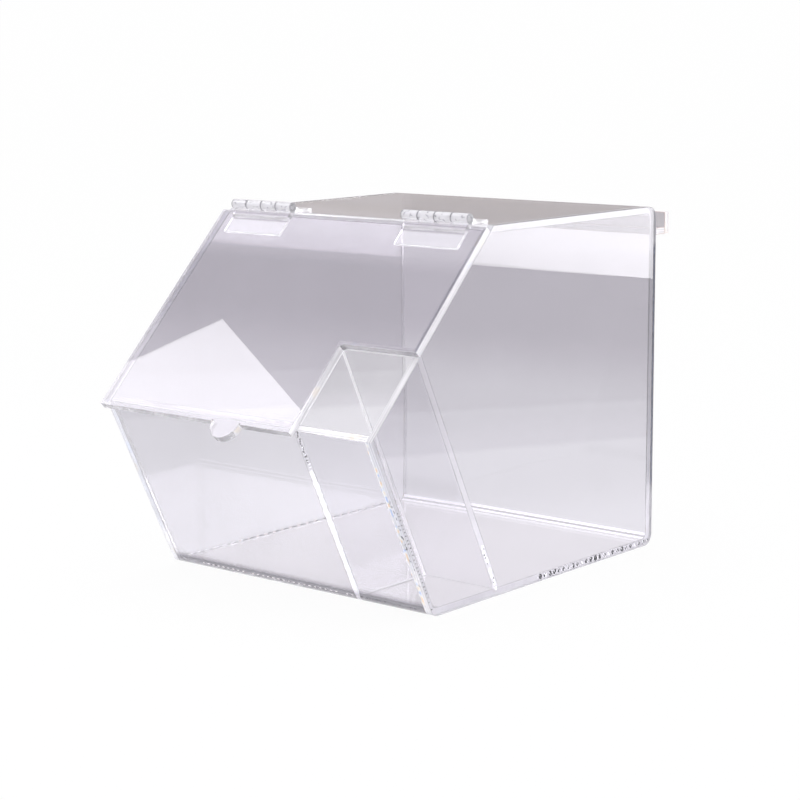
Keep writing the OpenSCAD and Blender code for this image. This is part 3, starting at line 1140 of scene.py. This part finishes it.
def mark_rows():
    """The rows of bubbles, streaks and dashes in the cemented joints and along the front bend; the white and
    pink marks have a painted glow.
    """
    dark = material("Dark Air Streak", mark_material, INK, (0.16, 0.16, 0.19), 700, 0.0)
    # White marks are air pockets painted bright, with a painted glow.
    white = material("White Air Streak", mark_material, (0.98, 0.98, 1.0), (0.88, 0.88, 0.92), 500, 0.8)
    grey = material("Grey Joint Line", mark_material, (0.30, 0.29, 0.34), (0.48, 0.46, 0.52), 400, 0.0)
    # Pink marks have a painted glow.
    pink = material("Pink Streak", mark_material, (1.0, 0.93, 0.90), (0.93, 0.84, 0.84), 500, 0.4)
    prism = material("Prism Glint", prism_mark_material)
    mid = Bin.sheet / 2
    joint = X_AXIS * Bin.inner_x
    outer = joint + X_AXIS * 0.2 * MM
    wall = X_AXIS * ((Bin.wall_low_x + Bin.wall_high_x) / 2)
    pocket_mid = Bin.pocket_back - mid

    floor_start = Vector((0, -0.06 * Bin.back, mid))
    floor_back = Vector((0, Bin.back - 2 * MM, mid))
    front_depth, seam_depth, foot = 2.8 * MM, 0.8 * MM, 4 * MM
    front_mid = behind_front(front_depth, 0.3 * Bin.height)
    front_foot = behind_front(front_depth, foot)
    seam = joint - X_AXIS * 0.6 * MM
    seam_top = behind_front(seam_depth, 0.47 * Bin.height)
    seam_foot = behind_front(seam_depth, foot)
    wall_top = under_slope(Bin.sheet) - Bin.up_front * 1.5 * MM
    wall_foot = behind_front(Bin.sheet, mid)
    pocket_knee = behind_front(pocket_mid, 28 * MM)
    pocket_foot = behind_front(pocket_mid, Bin.sheet)
    pocket_corner = behind_front(pocket_mid, mid)
    wall_front = behind_front(2 * Bin.sheet, mid)
    short_of_joint = joint - X_AXIS * 6 * MM

    def down_wall(share):
        return wall + wall_top.lerp(wall_foot, share)

    left = X_AXIS * (0.4 * MM - Bin.inner_x)
    above_floor = 1.1 * Bin.sheet
    floor_low, floor_dash, floor_end = (
        left + Vector((0, share * Bin.back, above_floor)) for share in (-0.9, -0.5, 0.92))
    front_row = behind_front(0, 3.4 * MM)

    def on_row(x):
        return front_row + X_AXIS * (x * MM)

    return (
        joint_row("floor_joint_dark", dark, joint + floor_start, joint + floor_back, X_AXIS,
                  spacing=4.4, length=3.7, width=3.3, side=0.1, turn=125, gaps=0.12, evenness=0.8),
        joint_row("floor_joint_white", white, outer + floor_start, outer + floor_back, X_AXIS,
                  spacing=4.4, length=3.8, width=1.0, side=0.1, turn=130, gaps=0.1, evenness=0.85),
        joint_row("floor_joint_chevrons", white, outer + floor_start, outer + floor_back, X_AXIS,
                  spacing=5.0, length=2.4, width=0.8, side=0.1, turn=60, gaps=0.3, evenness=0.85),
        joint_row("front_joint_dark", dark, joint + front_mid, joint + front_foot, X_AXIS,
                  spacing=2.4, length=1.5, width=0.9, side=0.5, turn=60, gaps=0.15, evenness=0.7),
        joint_row("front_joint_glints", prism, seam + seam_top, seam + seam_foot, Bin.into_bin,
                  spacing=4.6, length=4.2, width=0.9),
        joint_row("pocket_joint_dark", dark, down_wall(0), down_wall(0.19), Bin.into_bin,
                  spacing=1.1, length=2.4, width=0.9, side=1.4, turn=50, evenness=0.3),
        joint_row("pocket_joint_fine", white, down_wall(0.1), down_wall(0.25), Bin.into_bin,
                  spacing=1.8, length=2.8, width=0.8, side=1.2, turn=50, evenness=0.4),
        joint_row("pocket_joint_white", white, down_wall(0.26), down_wall(1), Bin.into_bin,
                  spacing=2.0, length=7.0, width=5.0, side=0.1, gaps=0.0, evenness=0.95),
        joint_row("pocket_back_white", white, joint + pocket_knee, joint + pocket_foot, X_AXIS,
                  spacing=2.4, length=3.4, width=2.6, side=0.4, evenness=0.5),
        joint_row("pocket_back_dark", dark, outer + pocket_knee, outer + pocket_foot, X_AXIS,
                  spacing=3.6, length=1.4, width=1.2, side=1.6, turn=30, gaps=0.2, evenness=0.2),
        joint_row("left_floor_white", white, floor_low, floor_dash, X_AXIS,
                  spacing=6.0, length=7.0, width=0.8, side=0.0, gaps=0.0, evenness=1.0),
        joint_row("left_floor_dashes", pink, floor_dash, floor_end, X_AXIS,
                  spacing=7.0, length=4.4, width=1.0, gaps=0.05),
        joint_row("left_floor_dark", grey, floor_dash + Y_AXIS * 3.5 * MM, floor_end, X_AXIS,
                  spacing=7.0, length=3.4, width=0.7),
        joint_row("front_row_dots", pink, on_row(-70), on_row(45), Bin.into_bin,
                  spacing=3.8, length=2.5, width=0.5, side=0.1, evenness=0.95),
        joint_row("front_row_dark", dark, on_row(48), on_row(84), Bin.into_bin,
                  spacing=3.0, length=2.6, width=0.9, side=0.5, turn=15, gaps=0.25, evenness=0.5),
        joint_row("wall_floor_line", grey, wall + wall_front, wall + pocket_corner, Z_AXIS,
                  spacing=5.0, length=9.0, width=1.6, gaps=0.0, evenness=0.95),
        joint_row("back_floor_line", grey, wall + pocket_corner, short_of_joint + pocket_corner, Z_AXIS,
                  spacing=5.0, length=9.0, width=1.6, gaps=0.0, evenness=0.95),
        joint_row("pocket_floor_dashes", white, pocket_corner + X_AXIS * (50 * MM),
                  pocket_corner + X_AXIS * (62 * MM), Z_AXIS,
                  spacing=3.0, length=2.0, width=1.0, gaps=0.0, evenness=0.8),
    )


def inner_corners():
    """The lines along the inner corners of the bin where beads of cement show."""
    deep = Bin.sheet
    rim = [
        under_slope(deep),
        behind_front(deep, deep),
        Vector((0, Bin.back - deep, deep)),
        Vector((0, Bin.back - deep, Bin.height - deep)),
        Vector((0, Bin.top_front.y + deep, Bin.height - deep)),
    ]
    wall_left = X_AXIS * Bin.wall_low_x
    wall_right = X_AXIS * Bin.wall_high_x
    back_front = Bin.pocket_back - Bin.sheet
    right = X_AXIS * Bin.inner_x
    return [
        [p + right for p in rim],
        [p - right for p in rim],
        [under_slope(deep) + wall_left, behind_front(deep, deep) + wall_left,
         behind_front(Bin.pocket_back, deep) + wall_left],
        [under_slope(deep) + wall_right, behind_front(deep, deep) + wall_right,
         behind_front(back_front, deep) + wall_right],
        [under_slope(back_front) + wall_right, behind_front(back_front, deep) + wall_right,
         behind_front(back_front, deep) + right, under_slope(back_front) + right],
        [behind_front(Bin.pocket_back, deep) + wall_left, behind_front(Bin.pocket_back, deep) + right,
         under_slope(Bin.pocket_back) + right],
    ]


class CANDYBIN_OT_cement(bpy.types.Operator):
    """Makes the cement beads in the corners and the marks in the joints"""

    bl_idname = "candy_bin.cement"
    bl_label = "Cement"

    def execute(self, context):
        look = settings().joint
        cement = material("Solvent Cement", cement_material)
        beads = built_by_nodes(
            polyline_mesh("Bead Lines", inner_corners()), bead_tree(),
            {"Radius": look.bead_radius, "Corner Radius": settings().sheet.bend_radius - Bin.sheet,
             "Step": 2 * MM, "Seed": look.seed, "Material": cement},
        )
        finished(welded(beads), "cement_beads", BIN, "acrylic_sheet", [cement])
        tree = joint_marks_tree()
        for index, row in enumerate(mark_rows()):
            seed = look.seed + ROW_SEEDS * index
            marks = built_by_nodes(polyline_mesh(row.name, [row.line]), tree, {**row.inputs, "Seed": seed})
            shape = bmesh.new()
            shape.from_mesh(marks)
            finished(shape, row.name, BIN, "acrylic_sheet", [row.dress])
        return {"FINISHED"}


def floor_material():
    """Pale floor that looks white to camera, mirror and glass rays, and keeps shadows."""
    made, tree, shader, place = new_material("Pale Floor")
    grain = noise(tree, place, 3, 2)
    paper = blend_colours(tree, grain, (0.93, 0.93, 0.94), (0.96, 0.96, 0.97))
    set_shader(tree, shader, Base_Color=paper, Roughness=0.9, Specular_IOR_Level=0.1)
    ray = put(tree, "ShaderNodeLightPath").outputs
    seen = maths(tree, "MAXIMUM", ray["Is Camera Ray"], ray["Is Glossy Ray"])
    seen = maths(tree, "MAXIMUM", seen, ray["Is Transmission Ray"])
    white = output(tree, "ShaderNodeEmission", {"Color": (1, 1, 1, 1), "Strength": 1.0})
    away = vectors(tree, "LENGTH", place)
    near = 1 - settings().studio.floor_shadow
    share = product(tree, seen, spread(tree, away, 0.35, 1.3, near, 0.99, smooth=True))
    mix = output(tree, "ShaderNodeMixShader", {0: share, 1: shader.outputs[0], 2: white})
    tree.links.new(mix, tree.nodes["Material Output"].inputs["Surface"])
    return made


def floor_mesh(radius, rise_start, rim_height, turns=96, rise_steps=12):
    """A round floor that curves up into a low rim."""
    rings = [0.3, 1.0, rise_start]
    heights = [0.0, 0.0, 0.0]
    for i in range(1, rise_steps + 1):
        share = i / rise_steps
        rings.append(rise_start + (radius - rise_start) * math.sin(share * math.pi / 2))
        heights.append(rim_height * (1 - math.cos(share * math.pi / 2)))
    shape = bmesh.new()
    centre = shape.verts.new((0, 0, FLOOR_LEVEL))
    last = None
    for ring, height in zip(rings, heights):
        row = [
            shape.verts.new((ring * math.cos(a), ring * math.sin(a), height + FLOOR_LEVEL))
            for a in (math.tau * k / turns for k in range(turns))
        ]
        for k in range(turns):
            after = (k + 1) % turns
            if last is None:
                shape.faces.new((centre, row[k], row[after]))
            else:
                shape.faces.new((last[k], row[k], row[after], last[after]))
        last = row
    for face in shape.faces:
        face.smooth = True
    mesh = bpy.data.meshes.new("floor")
    shape.to_mesh(mesh)
    shape.free()
    return mesh


def softbox(name, corner, along, across, width, height, light):
    """A softbox from one corner and the directions of its two sides, shining square to them."""
    x = Vector(along).normalized()
    z = x.cross(Vector(across)).normalized()
    y = z.cross(x)
    lamp = bpy.data.lights.new(name, "AREA")
    lamp.shape = "RECTANGLE"
    lamp.size = width
    lamp.size_y = height
    lamp.energy = light * math.pi * width * height
    made = bpy.data.objects.new(name, lamp)
    centre = Vector(corner) + x * width / 2 + y * height / 2
    made.matrix_world = Matrix.Translation(centre) @ Matrix((x, y, z)).transposed().to_4x4()
    made.visible_camera = False
    bpy.context.scene.collection.objects.link(made)
    return made


# Name, corner, directions of the two sides, width, height and share of the softbox light. The left
# softbox's corner shows as the pale wedge in the lid, and the back one as the band on the right panel.
SOFTBOXES = (
    ("Left Softbox", (-0.812, -0.263, 0.919), (-0.851, -0.411, -0.327), (0.091, -0.731, 0.676),
     0.5, 0.5, 0.8),
    ("Back Softbox", (1.70, 1.22, 0.005), (-1, 0, 0), (0, 0, 1), 0.88, 0.6, 0.95),
    ("Top Softbox", (-0.7, -0.7, 1.7), (1, 0, 0), (0, 1, 0), 1.4, 1.4, 0.65),
    ("Front Softbox", (-0.5, -2.2, 0.5), (1, 0, 0), (0, 0.3, 1), 1.6, 1.2, 0.4),
)
# Light caught in a sheet is mirrored many times before it leaves at an edge.
BOUNCES = 128


def room_world(horizon, above):
    """Studio that is grey to mirrors, and white to the camera and low down through the sheets."""
    room = bpy.data.worlds.new("Room")
    room.use_nodes = True
    tree = room.node_tree
    rise = axis(tree, put(tree, "ShaderNodeTexCoord").outputs["Generated"], "Z")
    sky = blend_colours(tree, spread(tree, rise, 0.2, 0.5, 0, 1, smooth=True), horizon, above)
    ray = put(tree, "ShaderNodeLightPath").outputs
    backdrop = product(tree, ray["Is Transmission Ray"], spread(tree, rise, 0.2, 0.3, 1, 0))
    backdrop = maths(tree, "MAXIMUM", ray["Is Camera Ray"], backdrop)
    tree.links.new(blend_colours(tree, backdrop, sky, (1, 1, 1)), tree.nodes["Background"].inputs["Color"])
    return room


class CANDYBIN_OT_stage(bpy.types.Operator):
    """Makes the camera, the floor, the room and the softboxes"""

    bl_idname = "candy_bin.stage"
    bl_label = "Stage"

    def execute(self, context):
        look = settings().studio
        scene = context.scene
        scene.view_settings.view_transform = "Standard"

        lens = bpy.data.cameras.new("Camera")
        lens.lens = look.lens
        lens.sensor_width = 36
        lens.clip_start = 0.01
        camera = bpy.data.objects.new("Camera", lens)
        flat = math.cos(look.elevation)
        back = Vector((
            math.sin(look.azimuth) * flat, -math.cos(look.azimuth) * flat, math.sin(look.elevation)))
        right = (-back).cross(Z_AXIS).normalized()
        up = back.cross(right)
        turn = Matrix((right, up, back)).transposed()
        turn = turn @ Matrix.Rotation(look.roll, 3, "Z")
        camera.matrix_world = Matrix.Translation(look.camera_place) @ turn.to_4x4()
        scene.collection.objects.link(camera)
        scene.camera = camera

        floor = bpy.data.objects.new("floor", floor_mesh(radius=4.5, rise_start=3.6, rim_height=0.45))
        floor.data.materials.append(floor_material())
        scene.collection.objects.link(floor)

        scene.world = room_world(look.horizon_colour, look.room_colour)
        for name, corner, along, across, width, height, share in SOFTBOXES:
            softbox(name, corner, along, across, width, height, share * look.softbox_light)

        scene.cycles.max_bounces = BOUNCES
        scene.cycles.transmission_bounces = BOUNCES
        scene.cycles.glossy_bounces = BOUNCES
        return {"FINISHED"}


class CANDYBIN_PT_panel(bpy.types.Panel):
    """Lists the steps and the settings of the candy bin"""

    bl_idname = "CANDYBIN_PT_panel"
    bl_label = "Candy Bin"
    bl_space_type = "VIEW_3D"
    bl_region_type = "UI"
    bl_category = "Candy Bin"

    def draw(self, context):
        layout = self.layout
        for group in ("sheet", "joint", "hinge", "studio"):
            look = getattr(context.scene.candy_bin, group)
            box = layout.box()
            box.label(text=group.capitalize())
            for name in look.__annotations__:
                box.prop(look, name)
        for step in STEPS:
            layout.operator(step.bl_idname)


STEPS = (
    CANDYBIN_OT_stage,
    CANDYBIN_OT_bent_sheet,
    CANDYBIN_OT_side_panels,
    CANDYBIN_OT_pocket_walls,
    CANDYBIN_OT_rear_rail,
    CANDYBIN_OT_lid,
    CANDYBIN_OT_hinges,
    CANDYBIN_OT_cement,
)
CLASSES = (
    CANDYBIN_PG_sheet,
    CANDYBIN_PG_joint,
    CANDYBIN_PG_hinge,
    CANDYBIN_PG_studio,
    CANDYBIN_PG_settings,
    *STEPS,
    CANDYBIN_PT_panel,
)


def register():
    """Registers the classes and the settings."""
    for cls in CLASSES:
        bpy.utils.register_class(cls)
    bpy.types.Scene.candy_bin = PointerProperty(type=CANDYBIN_PG_settings)


def unregister():
    """Removes the settings and the classes."""
    del bpy.types.Scene.candy_bin
    for cls in reversed(CLASSES):
        bpy.utils.unregister_class(cls)


def main():
    """Builds the bin and its stage."""
    register()
    for step in STEPS:
        area, name = step.bl_idname.split(".")
        getattr(getattr(bpy.ops, area), name)()


if __name__ == "__main__":
    main()
